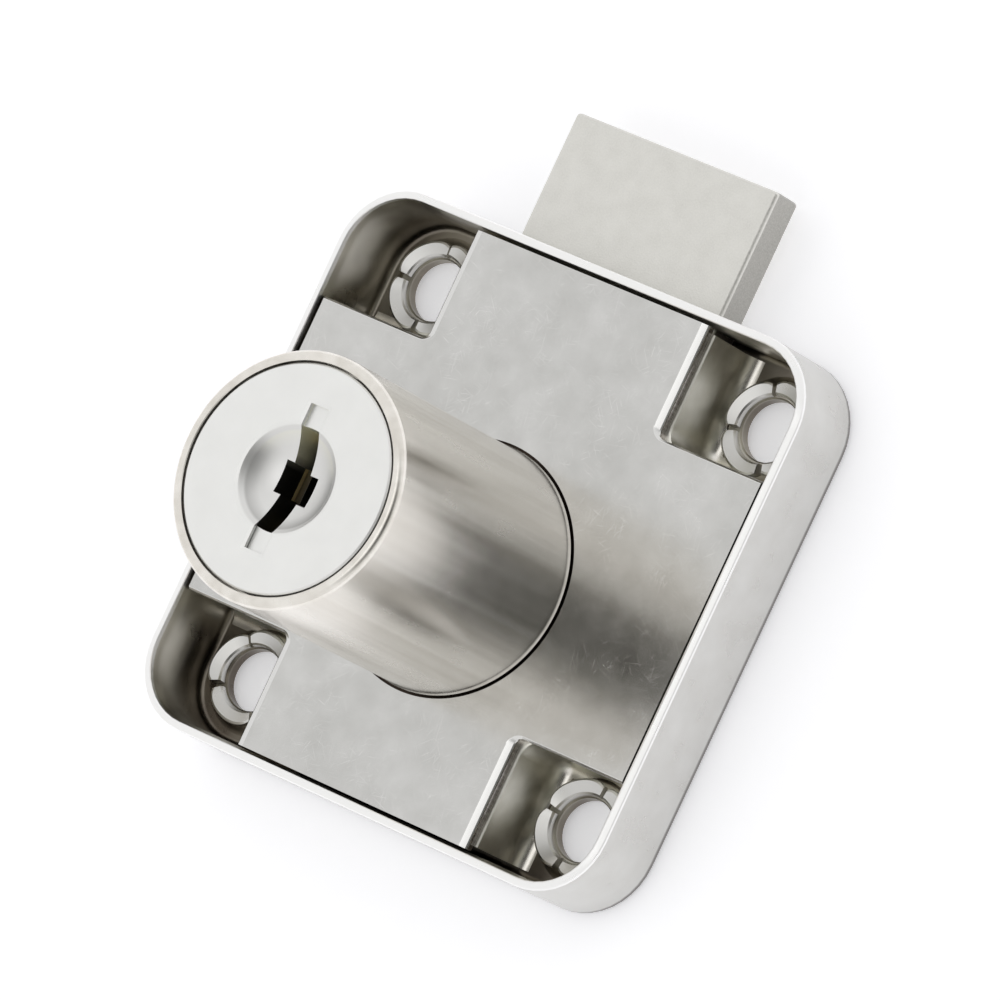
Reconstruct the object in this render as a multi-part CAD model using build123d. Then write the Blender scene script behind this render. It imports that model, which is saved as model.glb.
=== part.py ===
from build123d import *
import os
from math import pi

# Surface-mounted drawer lock: a pressed case with a long key barrel and a sliding bolt.
# Millimetres. The origin is where the barrel's axis meets the plane of the case's open rim.
# +Z runs along the barrel to the key face, +Y is the way the bolt is thrown, +X is to the right.

# ---------------------------------------------------------------- case
CASE_SIDE = 41.0          # outside, both ways
CASE_DEPTH = 7.2          # rim to back
CASE_CORNER_R = 5.2       # outside, seen from the front
CASE_EDGE_R = 0.5         # outside bend between wall and back
CASE_INNER_EDGE_R = 0.4
CASE_SHEET = 0.8
CASE_Y = 2.4              # the case's centre lies this far towards the bolt from the barrel
RIM_ROUND = 0.2
FLOOR_Z = CASE_SHEET - CASE_DEPTH

# ---------------------------------------------------------------- fixing screw holes
SCREW_PITCH = 30.0        # square pattern, on the case's centre
SCREW_HOLE_R = 2.25
COLLAR_FOOT_R = 3.7       # the sheet pressed inwards round each hole
COLLAR_TOP_R = 3.3
COLLAR_HEIGHT = 1.0
SINK_R = 3.1              # countersink at the back
SINK_DEPTH = 0.5

# ---------------------------------------------------------------- cover plate
COVER_SHEET = 0.8
COVER_DROP = 0.3          # below the rim
COVER_GAP = 0.3           # to the case's wall
NECK_HALF = 10.4          # half width of the cross's upright
ARM_HALF = 11.25          # half width of the cross's arms
NOTCH_R = 0.5
COVER_EDGE_R = 0.45
COVER_HOLE_R = 9.28
PIP_R = 0.9
PIP_HEIGHT = 0.55

# ---------------------------------------------------------------- cast cylinder housing
BARREL_R = 9.0
BARREL_HEIGHT = 22.5      # above the rim
BARREL_ROOT_R = 8.8       # below the rim, clear of the cover's hole
LIP_ROUND = 0.5
BORE_R = 6.25
HEAD_BORE_R = 8.2
HEAD_BORE_DEPTH = 2.05
BASE_NECK_HALF = 10.7
BASE_ARM_HALF = 10.9
BASE_REACH_GAP = 0.5      # to the case's wall, clear of its inner bend
BASE_FOOT = 1.2           # thin flange along the base's foot, with a sloping edge
BASE_FOOT_HEIGHT = 0.3
BASE_FOOT_SLOPE = 59      # degrees from upright
COLLAR_ROOM_R = 3.75      # the flange is cut away round each screw hole's collar
BASE_WALL = 1.4
BASE_TOP_Z = -COVER_DROP - COVER_SHEET
WEB_Z = -3.25             # underside of the web over the bolt
GROOVE_HALF_WIDTH = 2.85  # wafer grooves broached up the bore
GROOVE_R = 7.35
GROOVE_TOP_Z = 19.6
CAM_POCKET_R = 7.15
CAM_POCKET_Z = -1.2
BOSS_R = 2.3

# ---------------------------------------------------------------- case rivets
RIVET_X = 14.3
RIVET_Y = 7.0             # from the case's centre
RIVET_R = 1.2
RIVET_HEAD_R = 2.1
RIVET_TOP_Z = -2.7

# ---------------------------------------------------------------- plug
PLUG_R = 6.2
HEAD_R = 8.0
HEAD_THICK = 2.0
FACE_CHAMFER = 0.12
DISH_R = 3.8
DISH_DEPTH = 1.45
FACE_SLOT = (1.56, 10.6, 0.42)
KEYWAY_R = 3.75
KEYWAY_END_Z = 2.6
LEFT_ARM = (-1.35, 0.0, -1.1, 1.25)
RIGHT_ARM = (0.0, 1.6, -1.3, 0.85)
PLUG_END_Z = -2.2
TENON = 5.0
TENON_END_Z = -3.1
CLIP_GROOVE_R = 5.2
CLIP_GROOVE_Z = (-1.95, -1.3)

# ---------------------------------------------------------------- wafers and their springs
WAFER_COUNT = 7
WAFER_PITCH = 2.4
WAFER_TOP_Z = 18.4
WAFER_THICK = 1.0
WAFER_HALF_WIDTH = 2.7
WAFER_R = 6.15
WAFER_FIT = 0.05
WINDOW = (3.6, 5.8)
KEY_CUTS = (0.3, -0.5, 0.6, 0.0, -0.3, 0.5, -0.6)   # where each wafer's window sits
WAFER_TRAVEL = 0.8
WING = (1.6, 1.0)         # reach and depth of the lug that the spring pushes
POCKET_END = -3.6
POCKET_HALF_DEPTH = 0.75
POCKET_X = 4.45
SPRING_X = 3.5
SPRING_COIL_R = 0.5
SPRING_WIRE_R = 0.12
SPRING_TURNS = 7

# ---------------------------------------------------------------- retaining clip and drive cam
CLIP_R = 7.0
CLIP_INNER_R = 5.25
CLIP_Z = (-1.9, -1.35)
CLIP_MOUTH_HALF = 3.4
CAM_R = 6.9
CAM_Z = (TENON_END_Z, -2.25)
CRANK = 4.75              # the crank pin's distance from the plug's axis
CRANK_PIN_R = 1.4
CRANK_PIN_END_Z = -6.1

# ---------------------------------------------------------------- bolt
BOLT_WIDTH = 18.0
BOLT_THICK = 3.0
BOLT_FLOOR_GAP = 0.04
BOLT_TIP_Y = 32.5
BOLT_REAR_Y = -7.4
BOLT_EDGE_R = 0.35
BOLT_TIP_CHAMFER = 0.25
BOLT_GUIDE = 0.15         # to each side of the bolt
THROW = 2 * CRANK
# The bolt follows the plug at a constant rate, so the crank's sine motion needs this side room.
SLOT_HALF_DEPTH = CRANK_PIN_R + 0.2105 * CRANK + 0.12
SLOT_HALF_LENGTH = CRANK + CRANK_PIN_R + 0.35
SLOT_CORNER_R = 1.0

BOLT_BOTTOM_Z = FLOOR_Z + BOLT_FLOOR_GAP
BOLT_TOP_Z = BOLT_BOTTOM_Z + BOLT_THICK
PLATE_HALF = CASE_SIDE / 2 - CASE_SHEET - COVER_GAP
BASE_HALF = CASE_SIDE / 2 - CASE_SHEET - BASE_REACH_GAP
ON_FOOT = (Align.CENTER, Align.CENTER, Align.MIN)


def block(x0, x1, y0, y1, z0, z1):
    """A box between two corners."""
    centre = Pos((x0 + x1) / 2, (y0 + y1) / 2, (z0 + z1) / 2)
    return centre * Box(x1 - x0, y1 - y0, z1 - z0)


def rod(x, y, z0, z1, radius, top_radius=None):
    """A round bar, or a cone where the top radius differs, along Z."""
    place = Pos(x, y, z0)
    if top_radius is None:
        return place * Cylinder(radius, z1 - z0, align=ON_FOOT)
    return place * Cone(radius, top_radius, z1 - z0, align=ON_FOOT)


def grid(x_pitch, y_pitch):
    """The four corners of a rectangle about the case's centre."""
    return [(sx * x_pitch, CASE_Y + sy * y_pitch) for sx in (-1, 1) for sy in (-1, 1)]


def cross(neck_half, arm_half, reach):
    """The outline of a square plate with its four corners notched out."""
    upright = Rectangle(2 * neck_half, 2 * reach)
    arms = Rectangle(2 * reach, 2 * arm_half)
    return Pos(0, CASE_Y) * (upright + arms)


def edges_at(shape, z):
    return shape.edges().filter_by(lambda e: abs(e.bounding_box().min.Z - z) < 1e-4
                                   and abs(e.bounding_box().max.Z - z) < 1e-4)


def pan(side, corner_r, z_low, edge_r):
    """A rounded square block that stands from z_low to the rim, with a rounded foot."""
    outline = Pos(0, CASE_Y, z_low) * RectangleRounded(side, side, corner_r)
    solid = extrude(outline, -z_low)
    return fillet(edges_at(solid, z_low), edge_r)


def make_case():
    outer = pan(CASE_SIDE, CASE_CORNER_R, -CASE_DEPTH, CASE_EDGE_R)
    outer = fillet(edges_at(outer, 0), RIM_ROUND)
    inner_side = CASE_SIDE - 2 * CASE_SHEET
    inner = pan(inner_side, CASE_CORNER_R - CASE_SHEET, FLOOR_Z, CASE_INNER_EDGE_R)
    case = outer - inner
    half_guide = BOLT_WIDTH / 2 + BOLT_GUIDE
    wall_y = CASE_Y + CASE_SIDE / 2
    case -= block(-half_guide, half_guide, wall_y - 1.4, wall_y + 1, FLOOR_Z, BOLT_TOP_Z + BOLT_GUIDE)
    collar_top = FLOOR_Z + COLLAR_HEIGHT
    for x, y in grid(SCREW_PITCH / 2, SCREW_PITCH / 2):
        case += rod(x, y, FLOOR_Z - 0.1, collar_top, COLLAR_FOOT_R, COLLAR_TOP_R)
    for x, y in grid(SCREW_PITCH / 2, SCREW_PITCH / 2):
        case -= rod(x, y, -CASE_DEPTH - 1, collar_top + 1, SCREW_HOLE_R)
        case -= rod(x, y, -CASE_DEPTH, -CASE_DEPTH + SINK_DEPTH, SINK_R, SCREW_HOLE_R)
    for x, y in grid(RIVET_X, RIVET_Y):
        case -= rod(x, y, -CASE_DEPTH - 1, 0, RIVET_R)
        case -= rod(x, y, -CASE_DEPTH, FLOOR_Z, RIVET_HEAD_R, RIVET_R)
    return case


def make_cover_plate():
    outline = cross(NECK_HALF, ARM_HALF, PLATE_HALF)
    plate = Pos(0, 0, BASE_TOP_Z) * extrude(outline, COVER_SHEET)
    inner = [e for e in plate.edges().filter_by(Axis.Z)
             if abs(e.center().X) < PLATE_HALF - 1 and abs(e.center().Y - CASE_Y) < PLATE_HALF - 1]
    plate = fillet(inner, NOTCH_R)
    plate = fillet(edges_at(plate, -COVER_DROP), COVER_EDGE_R)
    plate -= rod(0, 0, BASE_TOP_Z - 1, 1, COVER_HOLE_R)
    for x, y in grid(RIVET_X, RIVET_Y):
        plate += rod(x, y, BASE_TOP_Z - PIP_HEIGHT, BASE_TOP_Z + 0.1, PIP_R)
    return plate


def make_housing_base():
    """The cast base: a web under the cover, walls down to the case, and bosses for the rivets."""
    outline = cross(BASE_NECK_HALF, BASE_ARM_HALF, BASE_HALF)
    base = Pos(0, 0, FLOOR_Z) * extrude(outline, BASE_TOP_Z - FLOOR_Z)
    for half_x, half_y in ((BASE_NECK_HALF, BASE_HALF - BASE_FOOT),
                           (BASE_HALF - BASE_FOOT, BASE_ARM_HALF)):
        foot = Rectangle(2 * (half_x + BASE_FOOT), 2 * half_y)
        base += Pos(0, CASE_Y, FLOOR_Z) * extrude(foot, BASE_FOOT_HEIGHT, taper=BASE_FOOT_SLOPE)
    for x, y in grid(SCREW_PITCH / 2, SCREW_PITCH / 2):
        base -= rod(x, y, FLOOR_Z - 1, FLOOR_Z + 1, COLLAR_ROOM_R)
    half_guide = BOLT_WIDTH / 2 + BOLT_GUIDE
    far = CASE_SIDE
    base -= block(-half_guide, half_guide, CASE_Y - far, CASE_Y + far, FLOOR_Z - 1, WEB_Z)
    inner_x = BASE_NECK_HALF + 0.3
    outer_x = BASE_HALF - BASE_WALL
    half_y = BASE_ARM_HALF - BASE_WALL
    for side in (-1, 1):
        x0, x1 = sorted((side * inner_x, side * outer_x))
        base -= block(x0, x1, CASE_Y - half_y, CASE_Y + half_y, FLOOR_Z - 1, WEB_Z)
    for x, y in grid(RIVET_X, RIVET_Y):
        base += rod(x, y, FLOOR_Z, WEB_Z + 0.1, BOSS_R)
    for x, y in grid(RIVET_X, RIVET_Y):
        base -= rod(x, y, FLOOR_Z - 1, RIVET_TOP_Z, RIVET_R)
        base -= rod(x, y, BASE_TOP_Z - PIP_HEIGHT - 0.05, 0, PIP_R)
    return base


def make_cylinder_housing():
    barrel = rod(0, 0, 0, BARREL_HEIGHT, BARREL_R)
    barrel = fillet(edges_at(barrel, BARREL_HEIGHT), LIP_ROUND)
    barrel += rod(0, 0, BASE_TOP_Z - 0.5, 0.1, BARREL_ROOT_R)
    housing = make_housing_base() + barrel
    housing -= rod(0, 0, CAM_POCKET_Z - 1, BARREL_HEIGHT + 1, BORE_R)
    housing -= rod(0, 0, BARREL_HEIGHT - HEAD_BORE_DEPTH, BARREL_HEIGHT + 1, HEAD_BORE_R)
    housing -= rod(0, 0, FLOOR_Z, CAM_POCKET_Z, CAM_POCKET_R)
    slot = Rectangle(2 * GROOVE_HALF_WIDTH, 2 * GROOVE_R) & Circle(GROOVE_R)
    housing -= Pos(0, 0, CAM_POCKET_Z - 0.5) * extrude(slot, GROOVE_TOP_Z - CAM_POCKET_Z + 0.5)
    return housing


def make_case_rivets():
    rivets = []
    for x, y in grid(RIVET_X, RIVET_Y):
        head = rod(x, y, -CASE_DEPTH, FLOOR_Z, RIVET_HEAD_R, RIVET_R)
        rivets.append(head + rod(x, y, FLOOR_Z - 0.1, RIVET_TOP_Z, RIVET_R))
    return Compound(rivets)


def keyway_outline():
    slot = Rectangle(FACE_SLOT[0], 2 * KEYWAY_R) & Circle(KEYWAY_R)
    for x0, x1, y0, y1 in (LEFT_ARM, RIGHT_ARM):
        slot += Pos((x0 + x1) / 2, (y0 + y1) / 2) * Rectangle(x1 - x0, y1 - y0)
    return slot


def wafer_z(index):
    return WAFER_TOP_Z - index * WAFER_PITCH


def wafer_turn(index):
    """Every other wafer is turned end for end, so its spring pushes it the other way."""
    return Rot(0, 0, 180 * (index % 2))


def make_plug():
    face_z = BARREL_HEIGHT
    body = rod(0, 0, PLUG_END_Z, face_z - HEAD_THICK + 0.1, PLUG_R)
    head = rod(0, 0, face_z - HEAD_THICK, face_z, HEAD_R)
    head = chamfer(edges_at(head, face_z), FACE_CHAMFER)
    plug = body + head
    ring = rod(0, 0, *CLIP_GROOVE_Z, PLUG_R + 1) - rod(0, 0, *CLIP_GROOVE_Z, CLIP_GROOVE_R)
    plug -= ring
    plug += block(-TENON / 2, TENON / 2, -TENON / 2, TENON / 2, TENON_END_Z, PLUG_END_Z + 0.1)
    sphere_r = (DISH_R ** 2 + DISH_DEPTH ** 2) / (2 * DISH_DEPTH)
    plug -= Pos(0, 0, face_z - DISH_DEPTH + sphere_r) * Sphere(sphere_r)
    width, length, depth = FACE_SLOT
    plug -= block(-width / 2, width / 2, -length / 2, length / 2, face_z - depth, face_z + 1)
    plug -= Pos(0, 0, KEYWAY_END_Z) * extrude(keyway_outline(), face_z - KEYWAY_END_Z + 1)
    for index in range(WAFER_COUNT):
        plug -= wafer_chamber(index)
    return plug


def wafer_chamber(index):
    """The slot across the plug for one wafer, with the pocket for its lug and spring."""
    z = wafer_z(index)
    half_thick = WAFER_THICK / 2 + WAFER_FIT
    half_width = WAFER_HALF_WIDTH + WAFER_FIT
    reach = PLUG_R + 1
    slot = block(-half_width, half_width, -reach, reach, z - half_thick, z + half_thick)
    pocket_top = WING[1] + WAFER_TRAVEL + 0.15
    pocket = block(half_width - 0.1, POCKET_X, POCKET_END, pocket_top,
                   z - POCKET_HALF_DEPTH, z + POCKET_HALF_DEPTH)
    return wafer_turn(index) * (slot + pocket)


def make_wafer(index):
    """A flat tumbler: a window for the key, and a lug at one side for the spring."""
    width, height = WINDOW
    shift = KEY_CUTS[index]
    outline = Rectangle(2 * WAFER_HALF_WIDTH, 2 * WAFER_R) & Circle(WAFER_R)
    lug_x = WAFER_HALF_WIDTH + WING[0] / 2 - 0.1
    outline += Pos(lug_x, WING[1] / 2) * Rectangle(WING[0] + 0.2, WING[1])
    outline -= Pos(0, shift) * RectangleRounded(width, height, 0.4)
    wafer = Pos(0, 0, wafer_z(index) - WAFER_THICK / 2) * extrude(outline, WAFER_THICK)
    return wafer_turn(index) * wafer


def make_wafer_spring(index):
    """A small helical spring between the end of its pocket and the wafer's lug."""
    length = -POCKET_END - 2 * SPRING_WIRE_R
    pitch = length / SPRING_TURNS
    path = Helix(pitch, length, SPRING_COIL_R)
    start = path @ 0
    section = Plane(origin=start, z_dir=path % 0) * Circle(SPRING_WIRE_R)
    coil = sweep(section, path=path, is_frenet=True)
    stand = Pos(SPRING_X, POCKET_END + SPRING_WIRE_R, wafer_z(index)) * Rot(-90, 0, 0)
    return wafer_turn(index) * (stand * coil)


def make_retaining_clip():
    """An open ring that snaps into the plug's groove behind the housing."""
    ring = rod(0, 0, *CLIP_Z, CLIP_R) - rod(0, 0, *CLIP_Z, CLIP_INNER_R)
    return ring - block(-CLIP_MOUTH_HALF, CLIP_MOUTH_HALF, -CLIP_R - 1, 0, *CLIP_Z)


def make_drive_cam():
    """A disc staked on the plug's square tenon, with the crank pin that drives the bolt."""
    cam = rod(0, 0, *CAM_Z, CAM_R)
    cam -= block(-TENON / 2, TENON / 2, -TENON / 2, TENON / 2, *CAM_Z)
    return cam + rod(0, CRANK, CRANK_PIN_END_Z, CAM_Z[0] + 0.1, CRANK_PIN_R)


def make_bolt():
    half = BOLT_WIDTH / 2
    bolt = block(-half, half, BOLT_REAR_Y, BOLT_TIP_Y, BOLT_BOTTOM_Z, BOLT_TOP_Z)
    tip = [e for e in bolt.edges().filter_by(Axis.X) if e.center().Y > BOLT_TIP_Y - 1e-3]
    bolt = chamfer(tip, BOLT_TIP_CHAMFER)
    sides = [e for e in bolt.edges().filter_by(Axis.Y)]
    bolt = fillet(sides, BOLT_EDGE_R)
    slot = RectangleRounded(2 * SLOT_HALF_LENGTH, 2 * SLOT_HALF_DEPTH, SLOT_CORNER_R)
    bolt -= Pos(0, CRANK, BOLT_BOTTOM_Z - 1) * extrude(slot, BOLT_THICK + 2)
    return bolt


def make_parts():
    parts = {
        "case": make_case(),
        "case_rivets": make_case_rivets(),
        "cover_plate": make_cover_plate(),
        "cylinder_housing": make_cylinder_housing(),
        "plug": make_plug(),
        "retaining_clip": make_retaining_clip(),
        "drive_cam": make_drive_cam(),
        "bolt": make_bolt(),
    }
    for index in range(WAFER_COUNT):
        parts[f"wafer_{index + 1}"] = make_wafer(index)
        parts[f"wafer_spring_{index + 1}"] = make_wafer_spring(index)
    return parts


os.makedirs("parts", exist_ok=True)
for name, shape in make_parts().items():
    export_step(shape, f"parts/{name}.step")
print("throw", THROW, "mm, coupling", round(THROW / pi, 6), "mm per radian")
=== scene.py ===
# %% [markdown]
# # A drawer lock in nickel plate
#
# The lock lies on its back with its bolt thrown. A thin pressed case holds a cast housing, whose
# long round barrel stands up through a flat cover plate, and the plug with the keyway turns inside
# the barrel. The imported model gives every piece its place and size. This file gives each piece that
# shows a finer mesh and a finish.

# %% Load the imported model
import math

import bmesh
import bpy
from mathutils import Matrix, Vector


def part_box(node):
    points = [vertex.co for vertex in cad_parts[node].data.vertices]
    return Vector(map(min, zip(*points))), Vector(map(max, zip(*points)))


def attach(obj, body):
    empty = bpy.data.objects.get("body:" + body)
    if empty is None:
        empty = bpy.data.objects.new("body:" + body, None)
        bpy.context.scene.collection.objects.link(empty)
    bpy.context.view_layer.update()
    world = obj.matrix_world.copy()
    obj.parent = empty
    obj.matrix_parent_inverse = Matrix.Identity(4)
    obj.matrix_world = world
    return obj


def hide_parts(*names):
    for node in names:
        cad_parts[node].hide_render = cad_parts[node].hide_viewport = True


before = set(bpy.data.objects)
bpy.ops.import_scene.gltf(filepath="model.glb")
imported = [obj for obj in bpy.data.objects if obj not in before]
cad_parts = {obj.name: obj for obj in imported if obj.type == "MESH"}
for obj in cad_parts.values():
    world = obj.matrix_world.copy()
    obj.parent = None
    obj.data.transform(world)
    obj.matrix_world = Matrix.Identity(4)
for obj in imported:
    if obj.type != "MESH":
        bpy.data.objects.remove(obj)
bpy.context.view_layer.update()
MM = 0.001
scene = bpy.context.scene

# %% [markdown]
# ## The sizes that the meshes share
#
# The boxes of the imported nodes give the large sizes, so nothing here can drift away from the
# model. The few bends and gaps that a box can't tell are written as plain millimetres.

# %% Read the boxes, in millimetres
def mm_box(node):
    """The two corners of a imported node's box, in millimetres."""
    low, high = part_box(node)
    return low / MM, high / MM


case_low, case_high = mm_box("case")
cover_low, cover_high = mm_box("cover_plate")
housing_low, housing_high = mm_box("cylinder_housing")
plug_low = mm_box("plug")[0]
bolt_low, bolt_high = mm_box("bolt")

MIDDLE_Y = (case_low.y + case_high.y) / 2
CASE_HALF = (case_high.x - case_low.x) / 2
CASE_BACK = case_low.z
SHEET = 0.8
CASE_FLOOR = CASE_BACK + SHEET
FACE_Z = housing_high.z
print("case half side", round(CASE_HALF, 3), "face height", round(FACE_Z, 3))

# %% [markdown]
# ## Camera
#
# A long lens well above the lock keeps the case almost free of perspective. The light and the
# floor need node trees, so they come after the two classes that build those.

# %% Place the camera
CAMERA_AT = Vector((0.3852, -0.0224, 0.5713))
LOOK = Vector((-0.5574, 0.0404, -0.8292)).normalized()
CAMERA_UP = Vector((-0.3304, 0.9055, 0.2663))
LENS_MM = 362.7


def aim(position, look, up):
    """The matrix of a camera that looks along look, with up towards the picture's top."""
    up = (up - up.dot(look) * look).normalized()
    right = look.cross(up)
    turn = Matrix((right, up, -look)).transposed().to_4x4()
    return Matrix.Translation(position) @ turn


camera = bpy.data.objects.new("camera", bpy.data.cameras.new("camera"))
camera.data.lens = LENS_MM
camera.data.clip_start = 0.01
camera.matrix_world = aim(CAMERA_AT, LOOK, CAMERA_UP)
scene.collection.objects.link(camera)
scene.camera = camera
scene.view_settings.view_transform = "Standard"
print("camera's distance:", round(CAMERA_AT.length, 3), "m, lens:", LENS_MM, "mm")

# %% [markdown]
# ## Writing node trees as Python
#
# Shader and geometry trees are both built by one small class with one method, so that a node's
# settings are always made before its sockets are fed. A number that comes out of a node is
# wrapped in a Value. Sums on a Value add Math nodes, so a pattern reads like a formula.

# %% A class for trees and a class for values
class Nodes:
    """Adds nodes to one tree. A kind without a family's name is a shader node."""

    def __init__(self, tree):
        self.tree = tree

    def add(self, kind, settings=None, sockets=None):
        """One new node, with its settings made and then its sockets fed."""
        family = "" if "Node" in kind else "ShaderNode"
        node = self.tree.nodes.new(family + kind)
        for key, value in (settings or {}).items():
            if key == "stops":
                self.set_stops(node.color_ramp, value)
            else:
                setattr(node, key, value)
        for key, value in (sockets or {}).items():
            self.feed(node.inputs[key], value)
        return node

    def set_stops(self, ramp, stops):
        """Gives a colour ramp its (place, colour) stops."""
        while len(ramp.elements) < len(stops):
            ramp.elements.new(1.0)
        for element, (place, colour) in zip(ramp.elements, stops):
            element.position = place
            element.color = colour

    def feed(self, socket, value):
        """Links a socket to another one, or gives it a constant."""
        if isinstance(value, Value):
            value = value.socket
        if isinstance(value, bpy.types.NodeSocket):
            self.tree.links.new(value, socket)
        else:
            socket.default_value = value

    def value(self, socket):
        """Wraps a socket, so that sums can be written on it."""
        return Value(self, socket)


class Value:
    """A number that a tree works out. Python's operators add Math nodes."""

    def __init__(self, nodes, socket):
        self.nodes = nodes
        self.socket = socket

    def math(self, operation, *terms, clamp=False):
        """The result of one Math node."""
        settings = {"operation": operation, "use_clamp": clamp}
        node = self.nodes.add("Math", settings, dict(enumerate(terms)))
        return Value(self.nodes, node.outputs[0])

    def __add__(self, other):
        return self.math("ADD", self, other)

    __radd__ = __add__

    def __sub__(self, other):
        return self.math("SUBTRACT", self, other)

    def __rsub__(self, other):
        return self.math("SUBTRACT", other, self)

    def __mul__(self, other):
        return self.math("MULTIPLY", self, other)

    __rmul__ = __mul__

    def __gt__(self, other):
        return self.math("GREATER_THAN", self, other)

    def __abs__(self):
        return self.math("ABSOLUTE", self)

    def clamped(self):
        """The number, held between 0 and 1."""
        return self.math("ADD", self, 0.0, clamp=True)

    def root(self):
        return self.math("SQRT", self)


# %% [markdown]
# ## Light and floor
#
# Polished metal shows its surroundings more than its own colour, so the world is a white tent with
# one dark side, like a room behind the lens. One softbox overhead brightens the small slopes. The
# lock lies on its back, so the floor is at the back of the case. The floor is white paper that
# glows a little, as if it were lit from below, so that it stays white right up to the lock.

# %% Set up the world and the floor
PAPER_REACH = 1.5
PAPER_GLOW = 0.382


def make_world():
    """A white tent whose side behind the lens is dark."""
    world = bpy.data.worlds.new("light_tent")
    world.use_nodes = True
    world.node_tree.nodes.clear()
    nodes = Nodes(world.node_tree)
    where = nodes.add("TexCoord").outputs["Generated"]
    toward_lens = nodes.add("VectorMath", {"operation": "DOT_PRODUCT"}, {0: where, 1: -LOOK})
    stops = [(0.0, (0.90, 0.90, 0.90, 1)), (0.79, (0.88, 0.88, 0.88, 1)),
             (0.91, (0.42, 0.42, 0.41, 1)), (0.970, (0.07, 0.07, 0.065, 1))]
    ramp = nodes.add("ValToRGB", {"stops": stops}, {0: toward_lens.outputs["Value"]})
    glow = nodes.add("Background", None, {"Color": ramp.outputs[0], "Strength": 1.0})
    nodes.add("OutputWorld", None, {"Surface": glow.outputs[0]})
    scene.world = world


def make_lamp(name, position, size, watts):
    """A square soft light that faces the lock."""
    lamp = bpy.data.objects.new(name, bpy.data.lights.new(name, "AREA"))
    lamp.data.size = size
    lamp.data.energy = watts
    away = Vector(position)
    lamp.matrix_world = aim(away, -away.normalized(), Vector((0, 1, 0.1)))
    scene.collection.objects.link(lamp)


def make_floor():
    """A sheet of white paper under the lock."""
    mesh = bpy.data.meshes.new("floor")
    sides = ((-1, -1), (1, -1), (1, 1), (-1, 1))
    points = [(x * PAPER_REACH, y * PAPER_REACH, CASE_BACK * MM) for x, y in sides]
    mesh.from_pydata(points, [], [(0, 1, 2, 3)])
    floor = bpy.data.objects.new("floor", mesh)
    scene.collection.objects.link(floor)
    paper = bpy.data.materials.new("white_paper")
    paper.use_nodes = True
    shader = paper.node_tree.nodes["Principled BSDF"]
    shader.inputs["Base Color"].default_value = (0.90, 0.90, 0.91, 1)
    shader.inputs["Roughness"].default_value = 0.9
    shader.inputs["Emission Color"].default_value = (0.97, 0.97, 1.0, 1)
    shader.inputs["Emission Strength"].default_value = PAPER_GLOW
    mesh.materials.append(paper)


make_world()
make_lamp("softbox_above", (0.05, 0.0, 0.70), 0.36, 0.22)
make_floor()
print("lamps:", len(bpy.data.lights), "floor at", round(CASE_BACK, 3), "mm")

# %% [markdown]
# ## Finishes
#
# All of the lock is metal, so each finish is a metallic shader, and its colour and roughness carry
# the look. What tells one from another is the scale of its flaws: soft clouds in the plating,
# streaks from grinding, specks from tumbling, and fine scratches from handling. Object coordinates
# keep them in place.

# %% Patterns that several finishes use
class Finish(Nodes):
    """One metal finish, with the patterns that are shared between finishes."""

    def __init__(self, name):
        self.material = bpy.data.materials.new(name)
        self.material.use_nodes = True
        self.material.node_tree.nodes.clear()
        super().__init__(self.material.node_tree)
        self.place = self.add("TexCoord").outputs["Object"]

    def axis(self, letter):
        """One coordinate, in millimetres."""
        split = self.add("SeparateXYZ", None, {0: self.place})
        return self.value(split.outputs[letter]) * (1 / MM)

    def stretched(self, scale, turn=0.0):
        """The coordinates, turned about Z and then scaled apart along the axes."""
        sockets = {"Vector": self.place, "Angle": turn}
        turned = self.add("VectorRotate", {"rotation_type": "Z_AXIS"}, sockets).outputs[0]
        return self.add("VectorMath", {"operation": "MULTIPLY"}, {0: turned, 1: scale}).outputs[0]

    def noise(self, size_mm, detail=2.0, contrast=1.0):
        """Soft noise with lumps of about that size, from 0 to 1."""
        return self.noise_at(self.place, 1 / (size_mm * MM), detail, contrast)

    def noise_at(self, place, scale=1.0, detail=2.0, contrast=1.0):
        """Soft noise over coordinates of any kind, from 0 to 1."""
        sockets = {"Vector": place, "Scale": scale, "Detail": detail}
        raw = self.value(self.add("TexNoise", None, sockets).outputs[0])
        return ((raw - 0.5) * contrast + 0.5).clamped()

    def scratches(self, turn, width_mm, length_mm, amount):
        """Thin straight marks in one direction."""
        across, along = 1 / (width_mm * MM), 1 / (length_mm * MM)
        ridge = self.noise_at(self.stretched((across, along, along), turn), detail=0.0)
        return ridge > (1.0 - amount)

    def blend(self, factor, first, second):
        """A colour between two others."""
        return self.add("Mix", {"data_type": "RGBA"}, {0: factor, 6: first, 7: second}).outputs[2]

    def bump(self, height, strength, distance_mm):
        """Normals that make a pattern stand out of the surface."""
        sockets = {"Height": height, "Strength": strength, "Distance": distance_mm * MM}
        return self.add("Bump", None, sockets).outputs[0]

    def radius(self):
        """The distance from the barrel's axis, in millimetres."""
        x, y = self.axis("X"), self.axis("Y")
        return (x * x + y * y).root()

    def facing(self, letter):
        """How far the surface turns to that axis, either way, from 0 to 1."""
        normal = self.add("NewGeometry").outputs["Normal"]
        split = self.add("SeparateXYZ", None, {0: normal})
        return abs(self.value(split.outputs[letter]))

    def attribute(self, name):
        """A number that the mesh carries, from 0 to 1."""
        return self.value(self.add("Attribute", {"attribute_name": name}).outputs["Fac"])

    def metal(self, colour, roughness, normal=None, **more):
        """The finished material. More takes constants for the shader's other sockets."""
        sockets = {"Base Color": colour, "Roughness": roughness, "Metallic": 1.0, **more}
        if normal is not None:
            sockets["Normal"] = normal
        shader = self.add("BsdfPrincipled", None, sockets)
        self.add("OutputMaterial", None, {"Surface": shader.outputs[0]})
        return self.material


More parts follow.
